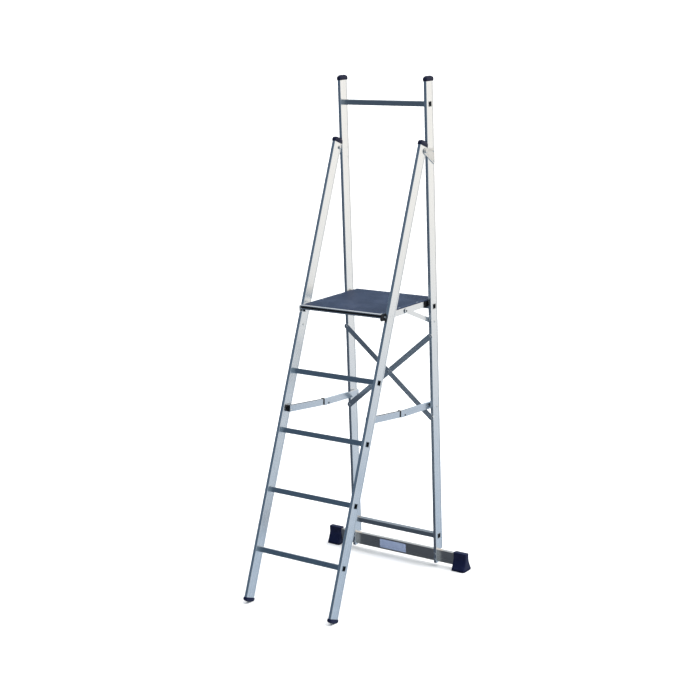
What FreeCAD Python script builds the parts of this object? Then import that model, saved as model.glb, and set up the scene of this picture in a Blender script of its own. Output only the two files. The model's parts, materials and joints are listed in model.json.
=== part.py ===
import FreeCAD, Part
import math
import os
import re

import Sketcher

# A free-standing platform step ladder: a sloping front ladder, an upright rear frame with a
# stabiliser bar, and a platform that tilts up between them when the ladder is closed.
# Millimetres.  +X is to the user's right when climbing, +Y runs from the climbing side to the
# rear frame and +Z is up.  The origin is on the floor, under the middle of the open ladder.

os.makedirs("parts", exist_ok=True)
doc = FreeCAD.newDocument("PlatformStepLadder")

# ---------------------------------------------------------------- driving dimensions

VALUES = {
    # frames
    "rear_width": 500.0,          # over the rear stiles
    "front_width": 499.4,         # over the front stiles, 0.3 clear of the hinge plates each side
    "tilt": 21.5,                 # lean of the front ladder, degrees
    "rear_face": 861.0,           # from the front ladder's toe line to the rear stiles' front face
    "stile_thick": 16.0,
    "stile_deep": 56.0,
    "stile_wall": 2.0,
    "stile_recess": 0.7,          # the side faces are let in between a front and a rear rim
    "stile_rim": 8.0,
    "stile_round": 2.0,
    "front_stile_foot": 24.0,
    "front_stile_top": 2202.0,
    "rear_stile_foot": 20.0,
    "rear_stile_top": 2325.0,
    # rungs
    "rung_size": 24.0,
    "rung_wall": 1.2,
    "rung_round": 1.5,
    "rung_set_back": 16.0,        # from the stile's front face to the rung's
    "rung_lip": 0.8,              # width of the flare outside the stile
    "rib_pitch": 4.0,
    "rib_groove": 1.6,
    "rib_deep": 0.7,
    "first_rung": 263.0,
    "rung_pitch": 280.0,
    "rear_low_rung": 152.0,
    "rear_platform_rung": 1283.0,
    "guard_rung": 2219.0,
    # end caps and feet
    "cap_wall": 3.0,
    "cap_tall": 21.0,
    "cap_sleeve": 3.0,
    "cap_dome": 9.0,
    "cap_corner": 4.0,
    "cap_relief": 0.4,            # between the front caps and the rear stiles
    "foot_wall": 3.0,
    "foot_low": 16.0,             # along the front stile
    "foot_high": 36.0,
    # main hinge
    "hinge_along": 2178.0,        # along the front stile from the toe line
    "hinge_deep": 44.6,           # behind the front stile's front face
    "hinge_eye": 14.0,
    "hinge_fall": 6.0,            # of the plate's top edge towards its back
    "hinge_plate": 3.0,
    "hinge_reach": 74.0,
    "hinge_drop": 69.6,
    "hinge_rivet_reach": 63.5,
    "hinge_rivet_high": -4.7,
    "hinge_rivet_low": -48.4,
    "hinge_pin": 5.0,             # radius
    "running_gap": 0.05,
    "bolt_head": 8.5,
    "bolt_head_tall": 5.0,
    "rivet_shank": 2.4,
    "rivet_head": 5.0,
    "rivet_head_tall": 2.2,
    "nut": 7.0,                   # radius
    "nut_tall": 4.0,
    "small_nut": 6.0,
    "small_nut_tall": 2.7,
    "washer": 7.0,                # radius of the brace's washers and the stays' bushes
    # stabiliser
    "bar_half": 395.0,
    "bar_low": 22.0,
    "bar_tall": 60.0,
    "bar_set_back": 20.0,         # from the rear stile's front face
    "bar_thick": 20.0,
    "bar_wall": 2.5,
    "boot_inner": 336.0,
    "boot_outer": 408.0,
    "boot_wall": 3.5,
    "boot_top": 88.0,
    "boot_waist": 58.0,
    "boot_toe": -4.0,             # from the rear stile's front face
    "boot_heel": 66.0,
    "boot_round": 2.5,
    "label_wide": 155.0,
    "label_tall": 44.0,
    "label_centre": -20.0,
    "label_low": 30.0,
    "label_thick": 0.4,
    "bar_bolt_low": 15.0,         # above the bar's lower edge
    "bar_bolt_high": 45.0,
    "bar_groove_pitch": 11.0,
    # cross brace
    "brace_half": 240.0,
    "brace_top": 1143.0,
    "brace_low": 750.0,
    "brace_wide": 27.0,
    "brace_thick": 3.0,
    # platform
    "deck_half": 228.4,
    "deck_front": 490.6,
    "deck_back": 933.0,
    "deck_top": 1318.0,
    "deck_thick": 5.0,
    "deck_groove_pitch": 12.0,
    "deck_groove": 2.0,
    "deck_groove_deep": 1.0,
    "edge_thick": 2.4,
    "edge_tall": 21.0,
    "edge_flange": 8.0,
    "edge_bevel": 2.8,
    "edge_lip": 7.0,              # of the front edge profile over the deck's front
    "strip_low": 6.0,
    "strip_tall": 9.0,
    "strip_proud": 0.8,
    "rail_outer": 228.0,
    "rail_thick": 16.0,
    "rail_tall": 29.0,
    "rail_wall": 2.0,
    "rail_front": 503.5,
    "rail_back": 831.0,
    "member_deep": 25.0,
    "member_tall": 18.0,
    "member_front": 590.0,
    "member_back": 745.0,
    "hook_back": 914.0,
    "hook_plug": 24.0,
    "hook_gap": 1.5,
    "screw_head": 5.0,
    "screw_head_tall": 2.8,
    "screw_shank": 2.2,
    # platform pivot on the front ladder
    "pivot_y": 510.0,
    "pivot_z": 1302.0,
    "pivot_pin": 4.0,
    "ear_front": 485.0,
    "ear_back": 556.0,
    "ear_low": 1285.0,
    "ear_top": 1317.5,
    "ear_thick": 5.0,
    "ear_rivet_one": 532.0,
    "ear_rivet_two": 548.0,
    "stile_rivet_along": 1323.0,
    # struts under the platform
    "strut_rail_y": 684.5,
    "strut_rail_z": 1298.0,
    "strut_stile_deep": 28.0,
    "strut_stile_z": 1211.0,
    "strut_wide": 22.0,
    "strut_thick": 2.6,
    "strut_inner": 230.75,
    "strut_pin": 4.0,
    "strut_head": 5.5,
    "rail_gap": 0.5,              # between the struts' front rivets and the rails
    # folding stays
    "stay_front_along": 919.0,
    "stay_front_deep": 36.0,
    "stay_knuckle_y": 660.0,
    "stay_knuckle_z": 809.5,
    "stay_back_deep": 36.0,
    "stay_back_z": 797.0,
    "stay_inner": 215.0,
    "stay_thick": 13.0,
    "stay_tall": 31.0,
    "stay_below": 8.0,            # from the pivot line down to the stay's lower edge
    "stay_wall": 1.6,
    "stay_nose": 33.0,            # the rear half reaches this far past the knuckle
    "stay_butt_gap": 2.2,
    "collar_long": 11.0,
    "collar_proud": 3.0,
    "tongue_plug": 30.0,
    "stay_pin": 3.5,
    "stay_round": 1.0,
    "stay_end_half": 11.0,
    "stay_tail": 6.5,
    "tongue_gap": 0.5,
    "tongue_round": 6.0,
    "knuckle_head_tall": 1.6,
    "boss_round": 4.0,
    "neck": 6.0,                  # radius of the end block's neck
    "open_gap": 0.3,              # between the stays' front ends and the stiles
}

sheet = doc.addObject("Spreadsheet::Sheet", "Dimensions")
for row, (alias, number) in enumerate(VALUES.items(), start=1):
    sheet.set("A%d" % row, alias)
    sheet.set("B%d" % row, str(number))
    sheet.setAlias("B%d" % row, alias)
doc.recompute()


def value(expression):
    """The number that an expression in sheet aliases stands for."""
    names = sorted(set(re.findall(r"[a-z][a-z_]+", expression)), key=len, reverse=True)
    number = expression
    for name in names:
        number = re.sub(r"\b%s\b" % name, "(%r)" % float(getattr(sheet, name)), number)
    return FreeCAD.Units.Quantity(number).Value


def bound(expression):
    """The same expression as FreeCAD writes it, with the sheet's name before each alias."""
    return re.sub(r"\b[a-z][a-z_]+\b", lambda alias: "Dimensions." + alias.group(), expression)


SIDES = {"left": -1, "right": 1}
TILT = math.radians(value("tilt"))
# the ladder's foremost point lies on the rounded front of its lower caps
FOREMOST = (value("foot_low + cap_dome") * math.sin(TILT)
            + value("cap_dome - foot_wall") * math.cos(TILT) - value("cap_dome"))
CENTRE_Y = (value("deck_back") + FOREMOST) / 2

# Each sub-part is drawn in the frame of the piece it belongs to and then put in place:
# the front ladder's own Y is depth behind its front face and its own Z runs up the stile.
X_AXIS = FreeCAD.Vector(1, 0, 0)
LEVEL = FreeCAD.Rotation()
FRONT = FreeCAD.Placement(FreeCAD.Vector(0, -CENTRE_Y, 0), FreeCAD.Rotation(X_AXIS, -value("tilt")))
REAR = FreeCAD.Placement(FreeCAD.Vector(0, value("rear_face") - CENTRE_Y, 0), LEVEL)
FLOOR = FreeCAD.Placement(FreeCAD.Vector(0, -CENTRE_Y, 0), LEVEL)

finished = []


# ---------------------------------------------------------------- building blocks

def box(size, corner):
    """A box with its size and its low corner bound to the sheet."""
    shape = doc.addObject("Part::Box", "Block")
    for name, expression in zip(("Length", "Width", "Height"), size):
        shape.setExpression(name, bound(expression))
    for name, expression in zip("xyz", corner):
        shape.setExpression("Placement.Base." + name, bound(expression))
    return shape


TURNS = {
    "x": FreeCAD.Rotation(FreeCAD.Vector(0, 1, 0), 90),
    "y": FreeCAD.Rotation(FreeCAD.Vector(1, 0, 0), -90),
    "z": LEVEL,
}


def rod(radius, length, start, axis):
    """A cylinder that runs from its start along +X, +Y or +Z."""
    shape = doc.addObject("Part::Cylinder", "Rod")
    shape.Placement = FreeCAD.Placement(FreeCAD.Vector(), TURNS[axis])
    shape.setExpression("Radius", bound(radius))
    shape.setExpression("Height", bound(length))
    for name, expression in zip("xyz", start):
        shape.setExpression("Placement.Base." + name, bound(expression))
    return shape


def countersink(start):
    """A countersunk screw head, from its shank's radius at start up to the head's."""
    shape = doc.addObject("Part::Cone", "Countersink")
    shape.setExpression("Radius1", bound("screw_shank"))
    shape.setExpression("Radius2", bound("screw_head"))
    shape.setExpression("Height", bound("screw_head_tall"))
    for name, expression in zip("xyz", start):
        shape.setExpression("Placement.Base." + name, bound(expression))
    return shape


def join(pieces):
    """One solid from pieces that touch or overlap."""
    if len(pieces) == 1:
        return pieces[0]
    fusion = doc.addObject("Part::MultiFuse", "Joined")
    fusion.Shapes = pieces
    fusion.Refine = True
    return fusion


def carve(base, tools):
    """The base with the tools' shapes removed; it has to lose volume."""
    cut = doc.addObject("Part::Cut", "Carved")
    cut.Base = base
    cut.Tool = join(tools)
    doc.recompute()
    if cut.Shape.Volume > base.Shape.Volume - 0.01:
        raise RuntimeError("a cut removed nothing from " + base.Name)
    return cut


def soften(base, radius, direction=None, above=None, below=None):
    """Rounds the straight edges that run along a direction, or those above or below a height."""
    doc.recompute()
    edges = []
    for number, edge in enumerate(base.Shape.Edges, start=1):
        if direction is not None:
            start, end = edge.Vertexes[0].Point, edge.Vertexes[-1].Point
            wanted = (end - start).normalize().cross(direction).Length < 1e-6
        elif above is not None:
            wanted = min(vertex.Z for vertex in edge.Vertexes) > above
        else:
            wanted = max(vertex.Z for vertex in edge.Vertexes) < below
        if wanted:
            edges.append((number, value(radius), value(radius)))
    fillet = doc.addObject("Part::Fillet", "Softened")
    fillet.Base = base
    fillet.Edges = edges
    doc.recompute()
    return fillet


def outline_body(points, thickness, start):
    """A flat plate: a sketch of straight sides on the YZ plane, padded along +X from start."""
    body = doc.addObject("PartDesign::Body", "Plate")
    plane = [item for item in body.Origin.OriginFeatures if item.Role == "YZ_Plane"][0]
    sketch = body.newObject("Sketcher::SketchObject", "Outline")
    sketch.AttachmentSupport = [(plane, "")]
    sketch.MapMode = "FlatFace"
    corners = [FreeCAD.Vector(value(y), value(z), 0) for y, z in points]
    for number, corner in enumerate(corners):
        sketch.addGeometry(Part.LineSegment(corner, corners[(number + 1) % len(corners)]), False)
    for number, (y, z) in enumerate(points):
        sketch.addConstraint(Sketcher.Constraint("Coincident", number, 2, (number + 1) % len(points), 1))
        for kind, expression in (("DistanceX", y), ("DistanceY", z)):
            index = sketch.addConstraint(Sketcher.Constraint(kind, -1, 1, number, 1, value(expression)))
            sketch.setExpression("Constraints[%d]" % index, bound(expression))
    pad = body.newObject("PartDesign::Pad", "Thickness")
    pad.Profile = sketch
    pad.setExpression("Length", bound(thickness))
    body.setExpression("Placement.Base.x", bound(start))
    doc.recompute()
    return body


def flared_body(levels):
    """A body lofted through level rectangles, each (z, x from, x to, y from, y to)."""
    body = doc.addObject("PartDesign::Body", "Flare")
    plane = [item for item in body.Origin.OriginFeatures if item.Role == "XY_Plane"][0]
    sketches = []
    for z, *limits in levels:
        sketch = body.newObject("Sketcher::SketchObject", "Level")
        sketch.AttachmentSupport = [(plane, "")]
        sketch.MapMode = "FlatFace"
        sketch.setExpression("AttachmentOffset.Base.z", bound(z))
        low_x, high_x, low_y, high_y = (value(limit) for limit in limits)
        ring = [(low_x, low_y), (high_x, low_y), (high_x, high_y), (low_x, high_y)]
        for number, (x, y) in enumerate(ring):
            after_x, after_y = ring[(number + 1) % 4]
            side = Part.LineSegment(FreeCAD.Vector(x, y, 0), FreeCAD.Vector(after_x, after_y, 0))
            sketch.addGeometry(side, False)
        for number in range(4):
            sketch.addConstraint(Sketcher.Constraint("Coincident", number, 2, (number + 1) % 4, 1))
            kind = "Horizontal" if number % 2 == 0 else "Vertical"
            sketch.addConstraint(Sketcher.Constraint(kind, number))
        for kind, corner, expression in (("DistanceX", 0, limits[0]), ("DistanceX", 1, limits[1]),
                                         ("DistanceY", 0, limits[2]), ("DistanceY", 2, limits[3])):
            index = sketch.addConstraint(Sketcher.Constraint(kind, -1, 1, corner, 1, value(expression)))
            sketch.setExpression("Constraints[%d]" % index, bound(expression))
        sketches.append(sketch)
    loft = body.newObject("PartDesign::AdditiveLoft", "Skin")
    loft.Profile = sketches[0]
    loft.Sections = sketches[1:]
    loft.Ruled = True
    doc.recompute()
    return body


def finish(label, shape, place):
    """Names a sub-part and puts it where it sits on the open ladder."""
    if shape.TypeId == "PartDesign::Body":
        shape.Placement = place.multiply(shape.Placement)
    else:
        shape.Placement = place
    shape.Label = label
    finished.append(shape)


def finish_group(label, solids, place):
    """Identical fasteners share one sub-part, each a separate solid."""
    group = doc.addObject("Part::Compound", "Group")
    group.Links = solids
    finish(label, group, place)


# ---------------------------------------------------------------- shared sections

def stile_tube(side, width, low, high):
    """A rounded box section whose two side faces are let in between the rims."""
    centre = "%d * (%s / 2 - stile_thick / 2)" % (side, width)
    blank = box(("stile_thick", "stile_deep", "%s - %s" % (high, low)),
                (centre + " - stile_thick / 2", "0", low))
    rounded = soften(blank, "stile_round", direction=FreeCAD.Vector(0, 0, 1))
    panel = ("stile_recess", "stile_deep - 2 * stile_rim", "%s - %s + 2" % (high, low))
    tools = [
        box(panel, (centre + " - stile_thick / 2", "stile_rim", low + " - 1")),
        box(panel, (centre + " + stile_thick / 2 - stile_recess", "stile_rim", low + " - 1")),
        box(("stile_thick - 2 * stile_wall - 2 * stile_recess", "stile_deep - 2 * stile_wall",
             "%s - %s + 2" % (high, low)),
            (centre + " - stile_thick / 2 + stile_wall + stile_recess", "stile_wall", low + " - 1")),
    ]
    return rounded, tools, centre


def rung_slot(centre, height, set_back="rung_set_back"):
    return box(("stile_thick + 2", "rung_size", "rung_size"),
               (centre + " - stile_thick / 2 - 1", set_back, height + " - rung_size / 2"))


def cross_hole(centre, radius, deep, height):
    return rod(radius, "stile_thick + 2", (centre + " - stile_thick / 2 - 1", deep, height), "x")


def rung(label, width, height, place, set_back="rung_set_back"):
    """A ribbed square tube, flared where it comes out through each stile."""
    half = "(%s / 2 - stile_recess)" % width
    tube = box(("2 * " + half, "rung_size", "rung_size"),
               ("-1 * " + half, set_back, height + " - rung_size / 2"))
    pieces = [soften(tube, "rung_round", direction=X_AXIS)]
    for side in SIDES.values():
        lip_start = half if side > 0 else "-1 * %s - stile_recess" % half
        pieces.append(box(("stile_recess", "rung_size + 2 * rung_lip", "rung_size + 2 * rung_lip"),
                          (lip_start, set_back + " - rung_lip", height + " - rung_size / 2 - rung_lip")))
    bore = box(("%s + 2" % width, "rung_size - 2 * rung_wall", "rung_size - 2 * rung_wall"),
               ("-1 * %s / 2 - 1" % width, set_back + " + rung_wall",
                height + " - rung_size / 2 + rung_wall"))
    grooves = [bore]
    clear = "(%s / 2 - stile_thick - 2)" % width
    for step in (-2, -1, 0, 1, 2):
        middle = "%s + rung_size / 2 + %d * rib_pitch - rib_groove / 2" % (set_back, step)
        level = "%s + %d * rib_pitch - rib_groove / 2" % (height, step)
        grooves.append(box(("2 * " + clear, "rib_groove", "rib_deep + 1"),
                           ("-1 * " + clear, middle, height + " + rung_size / 2 - rib_deep")))
        grooves.append(box(("2 * " + clear, "rib_deep + 1", "rib_groove"),
                           ("-1 * " + clear, set_back + " - 1", level)))
    finish(label, carve(join(pieces), grooves), place)


def stile_cap(label, side, width, top, place, relief=()):
    """A domed plug that covers the end of a stile."""
    centre = "%d * (%s / 2 - stile_thick / 2)" % (side, width)
    blank = box(("stile_thick + 2 * cap_wall", "stile_deep + 2 * cap_wall", "cap_tall + cap_sleeve"),
                (centre + " - stile_thick / 2 - cap_wall", "-1 * cap_wall", top + " - cap_sleeve"))
    rounded = soften(blank, "cap_corner", direction=FreeCAD.Vector(0, 0, 1))
    domed = soften(rounded, "cap_dome", above=value(top + " + cap_tall") - 0.5)
    socket = box(("stile_thick", "stile_deep", "cap_sleeve + 1"),
                 (centre + " - stile_thick / 2", "0", top + " - cap_sleeve - 1"))
    finish(label, carve(domed, [socket] + list(relief)), place)


# ---------------------------------------------------------------- rear frame

HINGE_Y = value("hinge_along") * math.sin(TILT) + value("hinge_deep") * math.cos(TILT)
HINGE_Z = value("hinge_along") * math.cos(TILT) - value("hinge_deep") * math.sin(TILT)
HINGE_REAR = "(%.6f - rear_face)" % HINGE_Y
HINGE_HIGH = "%.6f" % HINGE_Z

BAR_BOLTS = ("bar_low + bar_bolt_low", "bar_low + bar_bolt_high")
REAR_RUNGS = {
    "rear_bottom_rung": "rear_low_rung",
    "rear_platform_rung": "rear_platform_rung",
    "guard_rung": "guard_rung",
}


def build_rear_stile(name, side):
    tube, tools, centre = stile_tube(side, "rear_width", "rear_stile_foot", "rear_stile_top")
    tools += [rung_slot(centre, height) for height in REAR_RUNGS.values()]
    # the stile's back is cut away below the stabiliser bar's top
    tools.append(box(("stile_thick + 2", "stile_deep", "bar_low + bar_tall"),
                     (centre + " - stile_thick / 2 - 1", "bar_set_back", "0")))
    for drop in ("hinge_rivet_high", "hinge_rivet_low"):
        tools.append(cross_hole(centre, "rivet_shank", HINGE_REAR + " + hinge_rivet_reach",
                                "%s + %s" % (HINGE_HIGH, drop)))
    tools.append(cross_hole(centre, "strut_pin", "strut_stile_deep", "strut_stile_z"))
    tools.append(cross_hole(centre, "stay_pin", "stay_back_deep", "stay_back_z"))
    for height in ("brace_top", "brace_low"):
        tools.append(rod("rivet_shank", "stile_wall + 2", ("%d * brace_half" % side, "-1", height), "y"))
    for height in BAR_BOLTS:
        tools.append(rod("rivet_shank", "bar_set_back + 2", (centre, "-1", height), "y"))
    finish("rear_stile_" + name, carve(tube, tools), REAR)


def build_hinge_plate(name, side):
    """A three-cornered plate riveted to the rear stile, with the eye of the main hinge."""
    start = "rear_width / 2" if side > 0 else "-1 * rear_width / 2 - hinge_plate"
    slope = math.atan2(value("hinge_drop") - 11.4, value("hinge_reach") + 8.1)
    tangent_y = "%s - hinge_eye * %.6f" % (HINGE_REAR, math.sin(slope))
    tangent_z = "%s - hinge_eye * %.6f" % (HINGE_HIGH, math.cos(slope))
    points = [
        (HINGE_REAR, HINGE_HIGH + " + hinge_eye"),
        (tangent_y, tangent_z),
        (HINGE_REAR + " + hinge_reach - 6", HINGE_HIGH + " - hinge_drop + 4"),
        (HINGE_REAR + " + hinge_reach", HINGE_HIGH + " - hinge_drop + 8"),
        (HINGE_REAR + " + hinge_reach", HINGE_HIGH + " + hinge_eye - hinge_fall - 4"),
        (HINGE_REAR + " + hinge_reach - 4", HINGE_HIGH + " + hinge_eye - hinge_fall"),
    ]
    web = outline_body(points, "hinge_plate", start)
    eye = rod("hinge_eye", "hinge_plate", (start, HINGE_REAR, HINGE_HIGH), "x")
    holes = [rod("hinge_pin", "hinge_plate + 2", (start + " - 1", HINGE_REAR, HINGE_HIGH), "x")]
    for drop in ("hinge_rivet_high", "hinge_rivet_low"):
        holes.append(rod("rivet_shank", "hinge_plate + 2",
                         (start + " - 1", HINGE_REAR + " + hinge_rivet_reach",
                          "%s + %s" % (HINGE_HIGH, drop)), "x"))
    finish("hinge_plate_" + name, carve(join([web, eye]), holes), REAR)


def hinge_bolt(side):
    """The main pivot: a headed bolt through the plate and the front stile, with its lock nut."""
    outside = "(rear_width / 2 + hinge_plate)"
    nut_low = "(front_width / 2 - stile_thick - 0.5 - bolt_head_tall)"
    bolt = side_rivet(side, outside, "%s - %s" % (outside, nut_low), HINGE_REAR, HINGE_HIGH,
                      "hinge_pin", "bolt_head", "bolt_head_tall")
    start = nut_low if side > 0 else "-1 * %s - bolt_head_tall" % nut_low
    nut = rod("bolt_head", "bolt_head_tall", (start, HINGE_REAR, HINGE_HIGH), "x")
    return join([bolt, nut])


def side_rivet(side, outer, length, deep, height, shank, head, head_tall):
    """A rivet or bolt along X with its head outside and its shank going inwards."""
    if side > 0:
        return join([rod(shank, length, ("%s - (%s)" % (outer, length), deep, height), "x"),
                     rod(head, head_tall, (outer, deep, height), "x")])
    return join([rod(shank, length, ("-1 * (%s)" % outer, deep, height), "x"),
                 rod(head, head_tall, ("-1 * (%s) - %s" % (outer, head_tall), deep, height), "x")])


def build_rear_fasteners():
    finish_group("hinge_bolts", [hinge_bolt(side) for side in SIDES.values()], REAR)
    rivets = []
    for side in SIDES.values():
        for drop in ("hinge_rivet_high", "hinge_rivet_low"):
            rivets.append(side_rivet(side, "rear_width / 2 + hinge_plate", "hinge_plate + stile_thick",
                                     HINGE_REAR + " + hinge_rivet_reach", "%s + %s" % (HINGE_HIGH, drop),
                                     "rivet_shank", "rivet_head", "rivet_head_tall"))
    finish_group("hinge_rivets", rivets, REAR)

    # the strut's and the stay's rear pivots run in from the stile's outer face
    strut_bolts = []
    stay_bolts = []
    for side in SIDES.values():
        face = "rear_width / 2 - stile_recess"
        strut_length = face + " - strut_inner + nut_tall + 0.5"
        bolt = side_rivet(side, face, strut_length, "strut_stile_deep", "strut_stile_z",
                          "strut_pin", "strut_head", "rivet_head_tall")
        nut_start = "strut_inner - nut_tall - 0.5" if side > 0 else "-1 * strut_inner + 0.5"
        nut = rod("nut", "nut_tall", (nut_start, "strut_stile_deep", "strut_stile_z"), "x")
        strut_bolts.append(join([bolt, nut]))
        stay_length = face + " - stay_inner + small_nut_tall + open_gap"
        bolt = side_rivet(side, face, stay_length, "stay_back_deep", "stay_back_z",
                          "stay_pin", "rivet_head", "rivet_head_tall")
        nut_start = "stay_inner - small_nut_tall - open_gap" if side > 0 else "-1 * stay_inner + open_gap"
        nut = rod("small_nut", "small_nut_tall", (nut_start, "stay_back_deep", "stay_back_z"), "x")
        seat = "(rear_width / 2 - stile_thick + stile_recess)"
        bush_start = "stay_inner + stay_thick + open_gap" if side > 0 else "-1 * " + seat
        bush = rod("washer", seat + " - stay_inner - stay_thick - open_gap",
                   (bush_start, "stay_back_deep", "stay_back_z"), "x")
        stay_bolts.append(join([bolt, nut, bush]))
    finish_group("strut_rear_bolts", strut_bolts, REAR)
    finish_group("stay_rear_bolts", stay_bolts, REAR)


def build_stabiliser():
    blank = box(("2 * bar_half", "bar_thick", "bar_tall"), ("-1 * bar_half", "bar_set_back", "bar_low"))
    rounded = soften(blank, "rung_round", direction=X_AXIS)
    tools = [box(("2 * bar_half + 2", "bar_thick - 2 * bar_wall", "bar_tall - 2 * bar_wall"),
                 ("-1 * bar_half - 1", "bar_set_back + bar_wall", "bar_low + bar_wall"))]
    for step in (-2, -1, 1, 2):
        tools.append(box(("2 * boot_inner - 4", "1.6", "1.6"),
                         ("-1 * boot_inner + 2", "bar_set_back - 1",
                          "bar_low + bar_tall / 2 + %d * bar_groove_pitch - 0.8" % step)))
    for side in SIDES.values():
        for height in BAR_BOLTS:
            x = "%d * (rear_width / 2 - stile_thick / 2)" % side
            tools.append(rod("rivet_shank", "bar_wall + 2", (x, "bar_set_back - 1", height), "y"))
    finish("stabiliser_bar", carve(rounded, tools), REAR)

    bolts = []
    for side in SIDES.values():
        centre = "%d * (rear_width / 2 - stile_thick / 2)" % side
        for height in BAR_BOLTS:
            shank = rod("rivet_shank", "bar_set_back + bar_wall", (centre, "0", height), "y")
            head = rod("rivet_head", "rivet_head_tall", (centre, "-1 * rivet_head_tall", height), "y")
            bolts.append(join([shank, head]))
    finish_group("stabiliser_bolts", bolts, REAR)

    for name, side in SIDES.items():
        near, far = ("boot_inner", "boot_outer") if side > 0 else ("-1 * boot_outer", "-1 * boot_inner")
        front = "bar_set_back - boot_wall"
        back = "bar_set_back + bar_thick + boot_wall"
        base = flared_body([
            ("0", near + " + 3", far + " - 3", "boot_toe + 3", "boot_heel - 3"),
            ("4", near, far, "boot_toe", "boot_heel"),
            ("11", near, far, "boot_toe + 1.5", "boot_heel - 1.5"),
            ("boot_waist", near, far, front, back),
        ])
        sleeve = box(("boot_outer - boot_inner", "bar_thick + 2 * boot_wall", "boot_top - boot_waist + 2"),
                     (near, front, "boot_waist - 2"))
        sleeve = soften(sleeve, "boot_round", above=value("boot_top") - 1)
        start = "boot_inner - 2" if side > 0 else "-1 * bar_half"
        pocket = box(("bar_half - boot_inner + 2", "bar_thick", "bar_tall"), (start, "bar_set_back", "bar_low"))
        finish("stabiliser_boot_" + name, carve(join([base, sleeve]), [pocket]), REAR)

    label = box(("label_wide", "label_thick", "label_tall"),
                ("label_centre - label_wide / 2", "bar_set_back - label_thick", "label_low"))
    finish_group("blank_label", [label], REAR)


def brace_bar(side, deep):
    """A flat bar from one stile's upper rivet to the other's lower one, its ends rounded."""
    half = value("brace_half")
    rise = value("brace_top") - value("brace_low")
    length = math.hypot(2 * half, rise)
    lean = math.degrees(math.atan2(rise, 2 * half))
    middle = "((brace_top + brace_low) / 2)"
    bar = box(("%.6f" % length, "brace_thick", "brace_wide"),
              ("%.6f" % (-length / 2), deep, "-1 * brace_wide / 2"))
    ends = [rod("brace_wide / 2", "brace_thick", ("%.6f" % (end * length / 2), deep, "0"), "y")
            for end in (-1, 1)]
    holes = [rod("rivet_shank", "brace_thick + 2", ("%.6f" % (end * length / 2), deep + " - 1", "0"), "y")
             for end in (-1, 0, 1)]
    flat = carve(join([bar] + ends), holes)
    turn = FreeCAD.Rotation(FreeCAD.Vector(0, 1, 0), side * lean)
    return flat, FreeCAD.Placement(FreeCAD.Vector(0, 0, value(middle)), turn)


def build_cross_brace():
    for label, side, deep in (("cross_brace_front", 1, "-2 * brace_thick"),
                              ("cross_brace_back", -1, "-1 * brace_thick")):
        bar, local = brace_bar(side, deep)
        finish(label, bar, REAR.multiply(local))
    # the front bar stands off its stiles by the back bar's thickness, on a washer
    rivets = []
    washers = []
    for side in SIDES.values():
        for height in ("brace_top", "brace_low"):
            on_front = (side < 0) == (height == "brace_top")
            seat = "-2 * brace_thick" if on_front else "-1 * brace_thick"
            x = "%d * brace_half" % side
            shank = rod("rivet_shank", "stile_wall - (%s)" % seat, (x, seat, height), "y")
            head = rod("rivet_head", "rivet_head_tall", (x, "%s - rivet_head_tall" % seat, height), "y")
            rivets.append(join([shank, head]))
            if on_front:
                disc = rod("washer", "brace_thick", (x, "-1 * brace_thick", height), "y")
                hole = rod("rivet_shank", "brace_thick + 2", (x, "-1 * brace_thick - 1", height), "y")
                washers.append(carve(disc, [hole]))
    middle = "(brace_top + brace_low) / 2"
    shank = rod("rivet_shank", "2 * brace_thick", ("0", "-2 * brace_thick", middle), "y")
    front_head = rod("rivet_head", "rivet_head_tall", ("0", "-2 * brace_thick - rivet_head_tall", middle), "y")
    back_head = rod("rivet_head", "rivet_head_tall", ("0", "0", middle), "y")
    rivets.append(join([shank, front_head, back_head]))
    finish_group("cross_brace_rivets", rivets, REAR)
    finish_group("cross_brace_washers", washers, REAR)


for name, side in SIDES.items():
    build_rear_stile(name, side)
    stile_cap("rear_cap_" + name, side, "rear_width", "rear_stile_top", REAR)
    build_hinge_plate(name, side)
for label, height in REAR_RUNGS.items():
    rung(label, "rear_width", height, REAR)
build_rear_fasteners()
build_stabiliser()
build_cross_brace()


# ---------------------------------------------------------------- front ladder

FRONT_RUNGS = ["first_rung + %d * rung_pitch" % step for step in range(4)]


def in_front_frame(y, z):
    """A point given from the toe line, as depth and distance along the front stile."""
    deep = y * math.cos(TILT) - z * math.sin(TILT)
    along = y * math.sin(TILT) + z * math.cos(TILT)
    return deep, along


def level_box(size, x, y, z):
    """A box in the front ladder's frame that stands level on the open ladder, its corner at y, z."""
    block = box(size, (x, "0", "0"))
    deep, along = in_front_frame(y, z)
    level = FreeCAD.Rotation(X_AXIS, value("tilt"))
    block.setExpression("Placement.Base.y", "%.6f" % deep)
    block.setExpression("Placement.Base.z", "%.6f" % along)
    block.Placement = FreeCAD.Placement(FreeCAD.Vector(value(x), deep, along), level)
    return block


def build_front_stile(name, side):
    tube, tools, centre = stile_tube(side, "front_width", "front_stile_foot", "front_stile_top")
    tools += [rung_slot(centre, height) for height in FRONT_RUNGS]
    tools.append(cross_hole(centre, "hinge_pin + running_gap", "hinge_deep", "hinge_along"))
    for y in ("ear_rivet_one", "ear_rivet_two"):
        deep, along = in_front_frame(value(y), value("pivot_z"))
        tools.append(cross_hole(centre, "rivet_shank", "%.6f" % deep, "%.6f" % along))
    tools.append(cross_hole(centre, "rivet_shank", "stile_deep / 2", "stile_rivet_along"))
    finish("front_stile_" + name, carve(tube, tools), FRONT)


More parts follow.
